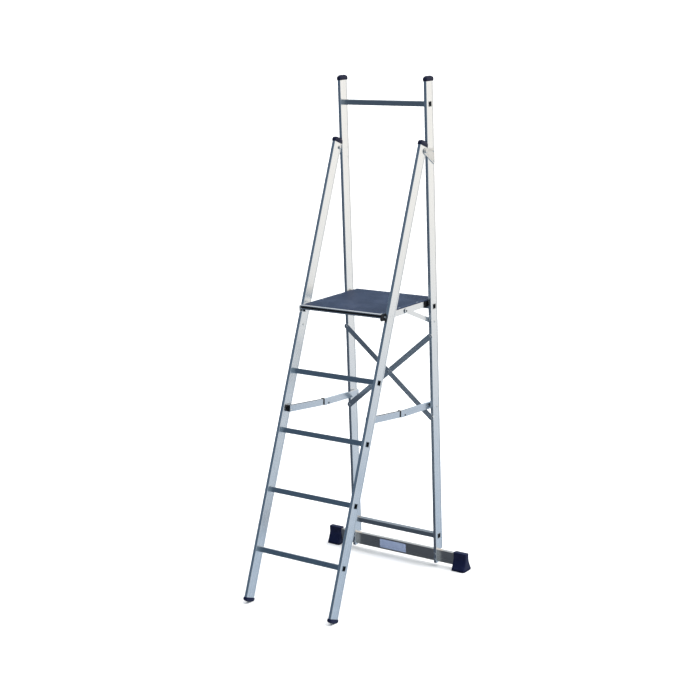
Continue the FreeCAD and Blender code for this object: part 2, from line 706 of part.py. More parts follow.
def build_front_foot(name, side):
    """A rounded rubber cap on the stile's lower end, with a small flat where it meets the floor."""
    centre = "%d * (front_width / 2 - stile_thick / 2)" % side
    blank = box(("stile_thick + 2 * foot_wall", "stile_deep + 2 * foot_wall", "foot_high - foot_low"),
                (centre + " - stile_thick / 2 - foot_wall", "-1 * foot_wall", "foot_low"))
    rounded = soften(blank, "cap_corner", direction=FreeCAD.Vector(0, 0, 1))
    domed = soften(rounded, "cap_dome", below=value("foot_low") + 0.5)
    socket = box(("stile_thick", "stile_deep", "foot_high"),
                 (centre + " - stile_thick / 2", "0", "front_stile_foot"))
    ground = level_box(("100", "200", "100"), centre + " - 50", -60, -100)
    finish("front_foot_" + name, carve(domed, [socket, ground]), FRONT)


def build_front_cap(name, side):
    """The stile's cap, cut upright at its back where the rear stile stands."""
    centre = "%d * (front_width / 2 - stile_thick / 2)" % side
    behind = value("rear_face - cap_relief")
    relief = level_box(("60", "60", "200"), centre + " - 30", behind, value("front_stile_top") - 250)
    stile_cap("front_cap_" + name, side, "front_width", "front_stile_top", FRONT, [relief])


def build_platform_ear(name, side):
    """A plate riveted inside the front stile; it carries the platform's pivot."""
    start = "front_width / 2 - stile_thick - ear_thick"
    if side < 0:
        start = "-1 * (front_width / 2 - stile_thick)"
    points = [
        ("ear_front + 3", "ear_low"),
        ("ear_back", "ear_low"),
        ("ear_back + 6", "ear_top"),
        ("ear_front + 3", "ear_top"),
        ("ear_front", "ear_top - 3"),
        ("ear_front", "ear_low + 3"),
    ]
    plate = outline_body(points, "ear_thick", start)
    holes = [rod("rivet_shank", "ear_thick + 2", (start + " - 1", y, "pivot_z"), "x")
             for y in ("ear_rivet_one", "ear_rivet_two")]
    holes.append(rod("pivot_pin", "ear_thick + 2", (start + " - 1", "pivot_y", "pivot_z"), "x"))
    finish("platform_ear_" + name, carve(plate, holes), FLOOR)


def build_front_fasteners():
    inner = "(front_width / 2 - stile_thick)"
    pins = []
    rivets = []
    for side in SIDES.values():
        nut_low = "(rail_outer - rail_thick - nut_tall - 0.5)"
        start = nut_low if side > 0 else "-1 * " + inner
        shank = rod("pivot_pin", "%s - %s" % (inner, nut_low), (start, "pivot_y", "pivot_z"), "x")
        start = nut_low if side > 0 else "-1 * rail_outer + rail_thick + 0.5"
        nut = rod("nut", "nut_tall", (start, "pivot_y", "pivot_z"), "x")
        pins.append(join([shank, nut]))
        # two rivets hold each ear, flush inside it
        for y in ("ear_rivet_one", "ear_rivet_two"):
            deep, along = in_front_frame(value(y), value("pivot_z"))
            start = inner + " - ear_thick" if side > 0 else "-1 * (front_width / 2 - stile_recess)"
            rivets.append(rod("rivet_shank", "stile_thick - stile_recess + ear_thick",
                              (start, "%.6f" % deep, "%.6f" % along), "x"))
        # one more stands alone a little lower
        start = inner if side > 0 else "-1 * (front_width / 2 - stile_recess)"
        shank = rod("rivet_shank", "stile_thick - stile_recess",
                    (start, "stile_deep / 2", "stile_rivet_along"), "x")
        start = inner + " + stile_recess - rivet_head_tall" if side > 0 else "-1 * (%s + stile_recess)" % inner
        head = rod("rivet_head", "rivet_head_tall", (start, "stile_deep / 2", "stile_rivet_along"), "x")
        rivets.append(join([shank, head]))
    finish_group("platform_pivot_pins", pins, FLOOR)
    finish_group("front_stile_rivets", rivets, FRONT)


for name, side in SIDES.items():
    build_front_stile(name, side)
    build_front_cap(name, side)
    build_front_foot(name, side)
    build_platform_ear(name, side)
for number, height in enumerate(FRONT_RUNGS, start=1):
    rung("front_rung_%d" % number, "front_width", height, FRONT)
build_front_fasteners()


# ---------------------------------------------------------------- platform

SCREW_PLACES = ("deck_front + 17", "deck_front + 155", "deck_front + 300", "deck_back - 28")
DECK_LOW = "(deck_top - deck_thick)"


def deck_screws():
    """Countersunk screws along both edges of the deck, flush with its top."""
    screws = []
    for side in SIDES.values():
        x = "%d * (rail_outer - rail_thick / 2)" % side
        for y in SCREW_PLACES:
            shank = rod("screw_shank", "deck_thick + rail_wall", (x, y, DECK_LOW + " - rail_wall"), "z")
            screws.append(join([shank, countersink((x, y, "deck_top - screw_head_tall"))]))
    return screws


def build_platform():
    front = "deck_front + edge_thick"
    blank = box(("2 * deck_half", "deck_back - deck_front - edge_lip", "deck_thick"),
                ("-1 * deck_half", "deck_front + edge_lip", DECK_LOW))
    tools = deck_screws()
    count = int((value("deck_back") - value("deck_front") - 12) // value("deck_groove_pitch"))
    for step in range(count):
        tools.append(box(("2 * deck_half - 36", "deck_groove", "deck_groove_deep + 1"),
                         ("-1 * deck_half + 18", "deck_front + 12 + %d * deck_groove_pitch" % step,
                          "deck_top - deck_groove_deep")))
    finish("platform_deck", carve(blank, tools), FLOOR)

    points = [
        ("deck_front", "deck_top - edge_tall"),
        (front + " + edge_flange", "deck_top - edge_tall"),
        (front + " + edge_flange", "deck_top - edge_tall + edge_thick"),
        (front, "deck_top - edge_tall + edge_thick"),
        (front, "deck_top - edge_thick"),
        ("deck_front + edge_lip", "deck_top - edge_thick"),
        ("deck_front + edge_lip", "deck_top"),
        ("deck_front + edge_bevel", "deck_top"),
        ("deck_front", "deck_top - edge_bevel"),
    ]
    finish("platform_front_edge", outline_body(points, "2 * deck_half", "-1 * deck_half"), FLOOR)

    strip = box(("2 * deck_half", "strip_proud", "strip_tall"),
                ("-1 * deck_half", "deck_front - strip_proud", "deck_top - edge_tall + strip_low"))
    finish_group("platform_edge_strip", [strip], FLOOR)

    for name, side in SIDES.items():
        inner = "rail_outer - rail_thick"
        low_x = inner if side > 0 else "-1 * rail_outer"
        length = "rail_back - rail_front"
        blank = box(("rail_thick", length, "rail_tall"), (low_x, "rail_front", DECK_LOW + " - rail_tall"))
        rounded = soften(blank, "rung_round", direction=FreeCAD.Vector(0, 1, 0))
        tools = [
            box(("rail_thick - 2 * rail_wall", length + " + 2", "rail_tall - 2 * rail_wall"),
                (low_x + " + rail_wall", "rail_front - 1", DECK_LOW + " - rail_tall + rail_wall")),
            rod("pivot_pin + running_gap", "rail_thick + 2", (low_x + " - 1", "pivot_y", "pivot_z"), "x"),
        ]
        for y in SCREW_PLACES[:3]:
            x = "%d * (rail_outer - rail_thick / 2)" % side
            tools.append(rod("screw_shank", "rail_wall + 2", (x, y, DECK_LOW + " - rail_wall - 1"), "z"))
        finish("platform_rail_" + name, carve(rounded, tools), FLOOR)

        # the saddle that drops over the rear frame's rung, plugged into the rail
        block = box(("rail_thick", "hook_back - rail_back", "rail_tall"),
                    (low_x, "rail_back", DECK_LOW + " - rail_tall"))
        plug = box(("rail_thick - 2 * rail_wall", "hook_plug + 1", "rail_tall - 2 * rail_wall"),
                   (low_x + " + rail_wall", "rail_back - hook_plug", DECK_LOW + " - rail_tall + rail_wall"))
        rung_front = "rear_face + rung_set_back - hook_gap"
        notch = box(("rail_thick + 2", "rung_size + 2 * hook_gap",
                     "rear_platform_rung + rung_size / 2 + 0.3 - (%s - rail_tall) + 1" % DECK_LOW),
                    (low_x + " - 1", rung_front, DECK_LOW + " - rail_tall - 1"))
        x = "%d * (rail_outer - rail_thick / 2)" % side
        hole = rod("screw_shank", "8.5", (x, SCREW_PLACES[3], DECK_LOW + " - 8"), "z")
        finish("platform_hook_" + name, carve(join([block, plug]), [notch, hole]), FLOOR)

    inner = "(rail_outer - rail_thick)"
    for label, y in (("platform_member_front", "member_front"), ("platform_member_back", "member_back")):
        bar = box(("2 * " + inner, "member_deep", "member_tall"),
                  ("-1 * " + inner, y, DECK_LOW + " - member_tall"))
        hollow = box(("2 * %s + 2" % inner, "member_deep - 2 * rail_wall", "member_tall - 2 * rail_wall"),
                     ("-1 * %s - 1" % inner, y + " + rail_wall", DECK_LOW + " - member_tall + rail_wall"))
        finish(label, carve(bar, [hollow]), FLOOR)

    finish_group("platform_screws", deck_screws(), FLOOR)


build_platform()


# ---------------------------------------------------------------- struts under the platform

def toward(start, end):
    """A placement at start that turns a bar drawn along +Y to point at end."""
    angle = math.degrees(math.atan2(end[1] - start[1], end[0] - start[0]))
    base = FreeCAD.Vector(0, start[0] - CENTRE_Y, start[1])
    return FreeCAD.Placement(base, FreeCAD.Rotation(X_AXIS, angle))


STRUT_RAIL = (value("strut_rail_y"), value("strut_rail_z"))
STRUT_STILE = (value("rear_face + strut_stile_deep"), value("strut_stile_z"))


def build_strut(name, side):
    """A flat bar, hinged on the rear stile, that holds the platform's rail up."""
    length = "%.6f" % math.dist(STRUT_STILE, STRUT_RAIL)
    start = "strut_inner" if side > 0 else "-1 * strut_inner - strut_thick"
    bar = box(("strut_thick", length, "strut_wide"), (start, "0", "-1 * strut_wide / 2"))
    ends = [rod("strut_wide / 2", "strut_thick", (start, y, "0"), "x") for y in ("0", length)]
    holes = [rod("strut_pin + running_gap", "strut_thick + 2", (start + " - 1", "0", "0"), "x"),
             rod("rivet_head", "strut_thick + 2", (start + " - 1", length, "0"), "x")]
    flat = carve(join([bar] + ends), holes)
    rivet_long = "strut_inner + strut_thick - rail_outer - rail_gap"
    rivet_start = "rail_outer + rail_gap" if side > 0 else "-1 * strut_inner - strut_thick"
    rivet = rod("rivet_head", rivet_long, (rivet_start, length, "0"), "x")
    finish_group("platform_strut_" + name, [flat, rivet], toward(STRUT_STILE, STRUT_RAIL))


for name, side in SIDES.items():
    build_strut(name, side)


# ---------------------------------------------------------------- folding stays

STAY_FRONT = (value("stay_front_along") * math.sin(TILT) + value("stay_front_deep") * math.cos(TILT),
              value("stay_front_along") * math.cos(TILT) - value("stay_front_deep") * math.sin(TILT))
STAY_KNUCKLE = (value("stay_knuckle_y"), value("stay_knuckle_z"))
STAY_BACK = (value("rear_face + stay_back_deep"), value("stay_back_z"))


def channel(start, low_y, high_y, open_top):
    """A stay's U section along +Y, open upwards or downwards, and the room inside it."""
    length = "%s - (%s)" % (high_y, low_y)
    blank = box(("stay_thick", length, "stay_tall"), (start, low_y, "-1 * stay_below"))
    floor = "-1 * stay_below + stay_wall" if open_top else "-1 * stay_below - 1"
    inside = box(("stay_thick - 2 * stay_wall", length + " + 2", "stay_tall - stay_wall + 1"),
                 (start + " + stay_wall", "%s - 1" % low_y, floor))
    return soften(blank, "stay_round", direction=FreeCAD.Vector(0, 1, 0)), inside


def build_stay_rear(name, start, place):
    """The rear half, open underneath: it straddles the knuckle and runs on past its pivot."""
    reach = "%.6f" % math.dist(STAY_BACK, STAY_KNUCKLE)
    blank, inside = channel(start, "-1 * stay_nose", reach + " + stay_tail", open_top=False)
    holes = [inside,
             rod("stay_pin", "stay_thick + 2", (start + " - 1", "0", "0"), "x"),
             rod("stay_pin + running_gap", "stay_thick + 2", (start + " - 1", reach, "0"), "x")]
    finish("stay_rear_" + name, carve(blank, holes), place)

    heads = [rod("rivet_head", "knuckle_head_tall", (x, "0", "0"), "x")
             for x in (start + " - knuckle_head_tall", start + " + stay_thick")]
    finish("stay_knuckle_pin_" + name, join([rod("stay_pin", "stay_thick", (start, "0", "0"), "x")] + heads),
           place)


def build_stay_front(name, side, start, place):
    """The front half, open on top, with its end block and the knuckle that the rear half turns on."""
    reach = "%.6f" % math.dist(STAY_FRONT, STAY_KNUCKLE)
    collar = "%s - stay_nose - stay_butt_gap - collar_long" % reach
    blank, inside = channel(start, "-1 * stay_tail", collar, open_top=True)
    # the end block's neck passes through the outer wall, its pin through the inner one
    neck_start = "stay_inner + stay_thick - 3" if side > 0 else "-1 * stay_inner - stay_thick - 2"
    holes = [inside,
             rod("stay_pin", "stay_thick + 2", (start + " - 1", "0", "0"), "x"),
             rod("neck", "5", (neck_start, "0", "0"), "x")]
    finish("stay_front_" + name, carve(blank, holes), place)

    slim = "stay_wall + tongue_gap"
    plug = box(("stay_thick - 2 * stay_wall", "tongue_plug", "stay_tall - stay_wall"),
               (start + " + stay_wall", collar + " - tongue_plug", "-1 * stay_below + stay_wall"))
    band = box(("stay_thick", "collar_long", "stay_tall + collar_proud - 1"),
               (start, collar, "-1 * stay_below + 1"))
    tongue = box(("stay_thick - 2 * (%s)" % slim, "stay_nose + stay_butt_gap", "2 * tongue_round"),
                 ("%s + %s" % (start, slim), "%s + collar_long" % collar, "-1 * tongue_round"))
    end = rod("tongue_round", "stay_thick - 2 * (%s)" % slim, ("%s + %s" % (start, slim), reach, "0"), "x")
    bore = rod("stay_pin + running_gap", "stay_thick + 2", (start + " - 1", reach, "0"), "x")
    finish("stay_knuckle_" + name, carve(join([plug, band, tongue, end]), [bore]), place)

    # the end block fills the channel and stands out to the stile's face
    face = "(front_width / 2 - stile_thick - open_gap)"
    filling = box(("stay_thick - 2 * stay_wall", "stay_tail + stay_end_half", "stay_tall - stay_wall - 1"),
                  (start + " + stay_wall", "-1 * stay_tail", "-1 * stay_below + stay_wall"))
    boss_start = "stay_inner + stay_thick" if side > 0 else "-1 * " + face
    boss = box((face + " - stay_inner - stay_thick", "2 * stay_end_half", "stay_tall - 2"),
               (boss_start, "-1 * stay_end_half", "-1 * stay_below + 1"))
    boss = soften(boss, "boss_round", direction=X_AXIS)
    neck_start = "stay_inner + stay_thick - stay_wall" if side > 0 else "-1 * stay_inner - stay_thick"
    neck = rod("neck", "stay_wall", (neck_start, "0", "0"), "x")
    low = "stay_inner" if side > 0 else "-1 * " + face
    hole = rod("stay_pin", "60", ("%s - 5" % low, "0", "0"), "x")
    finish("stay_end_" + name, carve(join([filling, boss, neck]), [hole]), place)

    shank = rod("stay_pin", face + " - stay_inner", (low, "0", "0"), "x")
    head_start = "stay_inner - knuckle_head_tall" if side > 0 else "-1 * stay_inner"
    head = rod("rivet_head", "knuckle_head_tall", (head_start, "0", "0"), "x")
    finish("stay_front_pin_" + name, join([shank, head]), place)


for name, side in SIDES.items():
    start = "stay_inner" if side > 0 else "-1 * stay_inner - stay_thick"
    build_stay_rear(name, start, toward(STAY_KNUCKLE, STAY_BACK))
    build_stay_front(name, side, start, toward(STAY_FRONT, STAY_KNUCKLE))


# ---------------------------------------------------------------- checks and files

doc.recompute()
for item in doc.Objects:
    if "Invalid" in item.State or "Error" in item.State:
        raise RuntimeError("%s did not build" % item.Label)
for item in finished:
    if item.Shape.isNull() or not item.Shape.isValid() or item.Shape.Volume <= 0:
        raise RuntimeError("%s has a bad shape" % item.Label)
    item.Shape.exportStep("parts/%s.step" % item.Label)
print("%d sub-parts" % len(finished))
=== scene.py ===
import json
import math

import bmesh
import bpy
from mathutils import Matrix, Vector


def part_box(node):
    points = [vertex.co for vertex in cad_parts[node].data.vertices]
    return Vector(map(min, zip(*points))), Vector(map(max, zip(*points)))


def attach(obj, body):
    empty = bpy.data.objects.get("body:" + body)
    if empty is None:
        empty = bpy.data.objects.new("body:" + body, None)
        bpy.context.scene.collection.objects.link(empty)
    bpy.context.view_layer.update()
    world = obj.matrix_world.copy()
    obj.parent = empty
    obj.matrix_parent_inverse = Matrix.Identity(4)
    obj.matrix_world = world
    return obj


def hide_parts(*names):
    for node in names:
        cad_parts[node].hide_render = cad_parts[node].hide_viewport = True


# The looks of a platform step ladder: the camera and the studio, a material for every piece, and
# detailed moulded parts and fasteners in place of the plain CAD ones.  Places are metres in the CAD's
# frame; sections, profiles and levels of pieces are millimetres.

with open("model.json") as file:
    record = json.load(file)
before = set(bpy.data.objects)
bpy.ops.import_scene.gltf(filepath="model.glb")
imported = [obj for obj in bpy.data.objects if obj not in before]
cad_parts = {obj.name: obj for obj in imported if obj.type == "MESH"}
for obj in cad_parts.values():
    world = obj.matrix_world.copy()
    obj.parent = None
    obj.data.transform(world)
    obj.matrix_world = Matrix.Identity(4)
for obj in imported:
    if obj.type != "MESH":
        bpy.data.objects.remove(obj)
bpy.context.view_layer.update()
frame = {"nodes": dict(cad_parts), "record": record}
NODES = frame["nodes"]
BODY_OF = {node: body for body, nodes in frame["record"]["behaviour"]["bodies"].items() for node in nodes}
SIDES = ("left", "right")
MM = 0.001

TILT = math.radians(21.5)               # lean of the front ladder
STILE_WIDE = 16.0
STILE_DEEP = 56.0
STILE_START = 24.0                      # the front stile's lower end, up the stile from the toe line

REAR_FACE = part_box("rear_stile_left")[0][1]
REAR_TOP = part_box("rear_stile_left")[1][2]
FRONT_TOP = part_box("front_stile_left")[1][2] / math.cos(TILT)       # up the stile from the toe line
TOE_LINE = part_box("front_stile_left")[0][1] - STILE_START * MM * math.sin(TILT)
RELIEF = REAR_FACE - 0.5 * MM           # the front caps end here, just clear of the rear stiles


def named(*starts):
    """The CAD nodes whose names have one of these starts."""
    return [name for name in NODES if name.startswith(starts)]


# ---------------------------------------------------------------- camera

CAMERA_PLACE = Vector((4.2595, -5.6200, 2.7840))
CAMERA_YAW = 0.6413                     # to the left of +Y
CAMERA_PITCH = 0.2303                   # below level
CAMERA_ROLL = -0.0333
LENS = 81.45
SENSOR = 36.0                           # width; both in millimetres
VIEW_REACH = 3000.0                     # past the far corners of the floor
FLOOR_REACH = 700.0


def add_camera():
    forward = Vector((-math.sin(CAMERA_YAW) * math.cos(CAMERA_PITCH),
                      math.cos(CAMERA_YAW) * math.cos(CAMERA_PITCH),
                      -math.sin(CAMERA_PITCH)))
    level = Vector((math.cos(CAMERA_YAW), math.sin(CAMERA_YAW), 0.0))
    upward = level.cross(forward)
    right = level * math.cos(CAMERA_ROLL) + upward * math.sin(CAMERA_ROLL)
    up = upward * math.cos(CAMERA_ROLL) - level * math.sin(CAMERA_ROLL)
    data = bpy.data.cameras.new("camera")
    data.lens = LENS
    data.sensor_width = SENSOR
    data.clip_end = VIEW_REACH
    camera = bpy.data.objects.new("camera", data)
    turn = Matrix((right, up, -forward)).transposed()
    camera.matrix_world = Matrix.Translation(CAMERA_PLACE) @ turn.to_4x4()
    bpy.context.scene.collection.objects.link(camera)
    bpy.context.scene.camera = camera


# ---------------------------------------------------------------- node helpers

class Shader:
    """A node tree, built with one line per node."""

    def __init__(self, tree):
        self.tree = tree
        tree.nodes.clear()

    def feed(self, socket, source):
        """Links another node's output to a socket, or sets the socket's own value."""
        if isinstance(source, bpy.types.NodeSocket):
            self.tree.links.new(source, socket)
        else:
            socket.default_value = source

    def node(self, kind, inputs=None, **settings):
        made = self.tree.nodes.new(kind)
        for name, setting in settings.items():
            setattr(made, name, setting)
        for name, source in (inputs or {}).items():
            self.feed(made.inputs[name], source)
        return made

    def math(self, operation, first, second):
        made = self.node("ShaderNodeMath", {0: first, 1: second}, operation=operation)
        return made.outputs[0]

    def lift(self, base, source, amount):
        """Adds a share of a source to a value."""
        return self.math("ADD", base, self.math("MULTIPLY", source, amount))

    def sway(self, base, wave, amount):
        """Moves a value up and down with a noise, whose middle is 0.5."""
        return self.lift(base, self.math("SUBTRACT", wave, 0.5), amount)

    def smooth(self, source, low, high):
        """Nothing below low and one above high, with a smooth step between."""
        made = self.node("ShaderNodeMapRange", {"Value": source, "From Min": low, "From Max": high},
                         interpolation_type="SMOOTHSTEP")
        return made.outputs["Result"]

    def mix(self, factor, first, second):
        """Blends two colours; a colour mix has them on its sockets 6 and 7."""
        made = self.node("ShaderNodeMix", {0: factor, 6: first, 7: second}, data_type="RGBA")
        return made.outputs[2]

    def own_place(self):
        """A point's place in its own piece."""
        return self.node("ShaderNodeTexCoord").outputs["Object"]

    def noise(self, place, scale, detail, roughness=0.5):
        made = self.node("ShaderNodeTexNoise", {"Vector": place, "Scale": scale, "Detail": detail,
                                                "Roughness": roughness})
        return made.outputs["Fac"]

    def bump(self, height, strength, distance):
        made = self.node("ShaderNodeBump", {"Height": height, "Strength": strength, "Distance": distance})
        return made.outputs[0]

    def finish(self, inputs, kind="ShaderNodeBsdfPrincipled"):
        """Ends a material with its surface."""
        surface = self.node(kind, inputs)
        self.node("ShaderNodeOutputMaterial", {"Surface": surface.outputs[0]})


FINISHES = {}


def new_finish(name):
    """Keeps a new material under its name in FINISHES, and gives its node tree."""
    material = bpy.data.materials.new(name)
    material.use_nodes = True
    FINISHES[name] = material
    return Shader(material.node_tree)


def colour(red, green, blue):
    return (red, green, blue, 1.0)


def scaled(tint, factor, more=0.0):
    """A tint made darker or lighter."""
    return colour(*[min(1.0, part * factor + more) for part in tint])


# ---------------------------------------------------------------- studio

def add_world():
    """A soft studio: bright to the right and behind, paler blue behind on the left, dim in front, and
    bright again overhead."""
    world = bpy.data.worlds.new("studio")
    world.use_nodes = True
    bpy.context.scene.world = world
    shader = Shader(world.node_tree)
    place = shader.node("ShaderNodeTexCoord").outputs["Generated"]
    parts = shader.node("ShaderNodeSeparateXYZ", {"Vector": place}).outputs
    height = parts["Z"]
    across = shader.lift(shader.math("MULTIPLY", parts["X"], 0.6), parts["Y"], 0.8)
    dim = shader.mix(shader.smooth(height, -0.36, 0.05),
                     colour(0.070, 0.085, 0.110), colour(0.100, 0.148, 0.210))
    pale = colour(0.60, 0.71, 0.80)
    bright = shader.mix(shader.smooth(height, -0.30, -0.17),
                        colour(0.47, 0.58, 0.71), colour(1.15, 1.10, 1.02))
    overhead = colour(1.10, 1.10, 1.10)
    shade = shader.mix(shader.smooth(across, -0.65, 0.20), dim, pale)
    shade = shader.mix(shader.smooth(across, 0.40, 0.80), shade, bright)
    shade = shader.mix(shader.smooth(height, 0.66, 0.84), shade, overhead)
    background = shader.node("ShaderNodeBackground", {"Color": shade, "Strength": 1.0})
    shader.node("ShaderNodeOutputWorld", {"Surface": background.outputs[0]})


def add_daylight():
    """A very soft light from high up, a little right and behind; metals don't mirror it."""
    data = bpy.data.lights.new("daylight", "SUN")
    data.energy = 3.4
    data.angle = math.radians(75.0)
    data.color = (1.0, 0.99, 0.98)
    light = bpy.data.objects.new("daylight", data)
    light.rotation_euler = Vector((0.35, 0.25, 1.0)).to_track_quat("Z", "Y").to_euler()
    light.visible_glossy = False
    bpy.context.scene.collection.objects.link(light)


def add_floor():
    """A wide pale floor; metals don't mirror it."""
    mesh = bpy.data.meshes.new("floor")
    signs = ((-1, -1), (1, -1), (1, 1), (-1, 1))
    mesh.from_pydata([(x * FLOOR_REACH, y * FLOOR_REACH, 0) for x, y in signs], [], [(0, 1, 2, 3)])
    floor = bpy.data.objects.new("floor", mesh)
    bpy.context.scene.collection.objects.link(floor)
    floor.visible_glossy = False
    new_finish("pale_floor").finish({"Color": colour(0.94, 0.94, 0.94)}, "ShaderNodeBsdfDiffuse")
    mesh.materials.append(FINISHES["pale_floor"])


# ---------------------------------------------------------------- materials

SATIN = 0.22                            # how strongly the boards, rubbers and plastics reflect
UPRIGHT = (0.0, 0.0, 0.0)
LEANING = (TILT, 0.0, 0.0)              # turns the front ladder's stiles upright


def aluminium(name, turn, along, tint=(0.80, 0.82, 0.84), dull=0.26):
    """A drawn extrusion: faint die lines along one axis, cloudy handling marks and small scuffs."""
    shader = new_finish(name)
    turned = shader.node("ShaderNodeMapping", {"Vector": shader.own_place(), "Rotation": turn}).outputs[0]
    stretch = [1.2 if axis == along else 260.0 for axis in "XYZ"]       # long, fine streaks
    lined = shader.node("ShaderNodeVectorMath", {0: turned, 1: stretch}, operation="MULTIPLY").outputs[0]
    lines = shader.noise(lined, 1.0, 3.0)
    clouds = shader.noise(turned, 9.0, 5.0, 0.6)
    scuffs = shader.smooth(shader.noise(turned, 70.0, 6.0, 0.7), 0.62, 0.74)
    base = shader.mix(clouds, scaled(tint, 0.93), scaled(tint, 1.05))
    base = shader.mix(shader.math("MULTIPLY", scuffs, 0.25), base, colour(0.55, 0.57, 0.60))
    rough = shader.sway(dull, lines, 0.16)
    rough = shader.sway(rough, clouds, 0.14)
    rough = shader.lift(rough, scuffs, 0.18)
    shader.finish({"Base Color": base, "Metallic": 1.0, "Roughness": rough,
                   "Normal": shader.bump(lines, 0.12, 0.0004)})


def moulded(name, tint, rough):
    """Moulded rubber or plastic: a fine spark texture and broad dusty patches."""
    shader = new_finish(name)
    place = shader.own_place()
    fine = shader.noise(place, 900.0, 3.0)
    broad = shader.noise(place, 28.0, 5.0, 0.62)
    dust = shader.math("MULTIPLY", shader.smooth(broad, 0.5, 0.78), 0.35)
    shader.finish({"Base Color": shader.mix(dust, colour(*tint), scaled(tint, 1.7, 0.012)),
                   "Roughness": shader.sway(rough, broad, 0.3), "Specular IOR Level": SATIN,
                   "Normal": shader.bump(fine, 0.35, 0.00015)})


def deck_board(name):
    """A coated anti-slip board: slate blue, with a fine raised grit and paler trodden patches."""
    shader = new_finish(name)
    place = shader.own_place()
    grit = shader.node("ShaderNodeTexVoronoi", {"Vector": place, "Scale": 700.0}).outputs["Distance"]
    worn = shader.smooth(shader.noise(place, 7.0, 6.0, 0.6), 0.42, 0.72)
    base = shader.mix(worn, colour(0.017, 0.030, 0.068), colour(0.036, 0.054, 0.104))
    shader.finish({"Base Color": base, "Roughness": shader.lift(0.42, grit, 0.25),
                   "Specular IOR Level": SATIN, "Normal": shader.bump(grit, 0.4, 0.0004)})


def plated(name, low, high):
    """Plated steel: a slightly mottled satin metal between two tints."""
    shader = new_finish(name)
    mottle = shader.noise(shader.own_place(), 160.0, 4.0)
    shader.finish({"Base Color": shader.mix(mottle, colour(*low), colour(*high)), "Metallic": 1.0,
                   "Roughness": shader.lift(0.24, mottle, 0.22)})


def label_sheet(name):
    """A blank plate: pale blue-grey, slightly faded."""
    shader = new_finish(name)
    fade = shader.noise(shader.own_place(), 30.0, 4.0)
    shader.finish({"Base Color": shader.mix(fade, colour(0.27, 0.34, 0.52), colour(0.36, 0.43, 0.60)),
                   "Roughness": shader.lift(0.3, fade, 0.2)})


# ---------------------------------------------------------------- finishes

aluminium("stile_upright", UPRIGHT, "Z")
aluminium("stile_leaning", LEANING, "Z")
aluminium("rung_metal", UPRIGHT, "X", (0.56, 0.58, 0.60), 0.34)
aluminium("step_metal", UPRIGHT, "X", (0.44, 0.50, 0.55), 0.30)
aluminium("bar_metal", UPRIGHT, "X")
aluminium("base_metal", UPRIGHT, "X", (0.74, 0.68, 0.62), 0.30)
aluminium("rail_metal", UPRIGHT, "Y")
aluminium("stay_metal", UPRIGHT, "Y", (0.66, 0.71, 0.77), 0.24)
deck_board("deck_board")
moulded("navy_plastic", (0.0025, 0.0045, 0.024), 0.45)
moulded("navy_rubber", (0.003, 0.006, 0.034), 0.5)
moulded("black_plastic", (0.005, 0.005, 0.006), 0.45)
# A near-black finish on the right ear only, as painted shade: its twin on the left is bare metal.
moulded("painted_shade_black", (0.008, 0.008, 0.009), 0.35)
plated("zinc_steel", (0.58, 0.59, 0.60), (0.78, 0.78, 0.76))
plated("dark_steel", (0.05, 0.055, 0.065), (0.10, 0.105, 0.115))
label_sheet("label_sheet")

NODES_OF_FINISH = {
    "stile_upright": ("rear_stile",),
    "stile_leaning": ("front_stile_left", "front_stile_right"),
    "step_metal": ("front_rung",),
    "rung_metal": ("rear_bottom_rung", "rear_platform_rung", "guard_rung"),
    "bar_metal": ("cross_brace_front", "cross_brace_back", "platform_front_edge", "platform_member",
                  "platform_ear_left"),
    "base_metal": ("stabiliser_bar",),
    "rail_metal": ("platform_rail", "platform_strut"),
    "stay_metal": ("stay_rear_left", "stay_rear_right", "stay_front_left", "stay_front_right"),
    "deck_board": ("platform_deck",),
    "navy_plastic": ("front_cap", "rear_cap"),
    "navy_rubber": ("stabiliser_boot", "front_foot"),
    "black_plastic": ("platform_hook", "platform_edge_strip", "stay_end", "stay_knuckle_left",
                      "stay_knuckle_right"),
    # painted shade: the right ear is near-black, the left ear bare metal
    "painted_shade_black": ("platform_ear_right",),
    "zinc_steel": ("hinge_", "stabiliser_bolts", "cross_brace_rivets", "cross_brace_washers",
                   "strut_rear_bolts", "stay_rear_bolts", "platform_pivot_pins", "front_stile_rivets",
                   "platform_screws", "stay_knuckle_pin", "stay_front_pin"),
    "label_sheet": ("blank_label",),
}


def finish_nodes():
    for finish, starts in NODES_OF_FINISH.items():
        for name in named(*starts):
            mesh = NODES[name].data
            mesh.materials.clear()
            mesh.materials.append(FINISHES[finish])


# ---------------------------------------------------------------- pieces

class Shape:
    """Points and faces of one piece, in metres, gathered ring by ring."""

    def __init__(self):
        self.points = []
        self.faces = []

    def add_rings(self, rings):
        """A closed skin through rings of equal length, with a face over each end."""
        first = len(self.points)
        count = len(rings[0])
        for ring in rings:
            self.points += [tuple(point) for point in ring]
        for level in range(len(rings) - 1):
            low = first + level * count
            for step in range(count):
                after = (step + 1) % count
                self.faces.append((low + step, low + after, low + count + after, low + count + step))
        self.faces.append(tuple(range(first, first + count))[::-1])
        last = first + (len(rings) - 1) * count
        self.faces.append(tuple(range(last, last + count)))

    def place(self, name, finish, node, sharp=32.0, instead=True):
        """Puts the piece in the scene, in place of a CAD node unless it only adds to it."""
        mesh = bpy.data.meshes.new(name)
        mesh.from_pydata(self.points, [], self.faces)
        work = bmesh.new()
        work.from_mesh(mesh)
        bmesh.ops.recalc_face_normals(work, faces=work.faces)
        work.to_mesh(mesh)
        work.free()
        for face in mesh.polygons:
            face.use_smooth = True
        mesh.set_sharp_from_angle(angle=math.radians(sharp))
        mesh.materials.append(FINISHES[finish])
        piece = bpy.data.objects.new(name, mesh)
        bpy.context.scene.collection.objects.link(piece)
        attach(piece, BODY_OF[node])
        if instead:
            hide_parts(node)


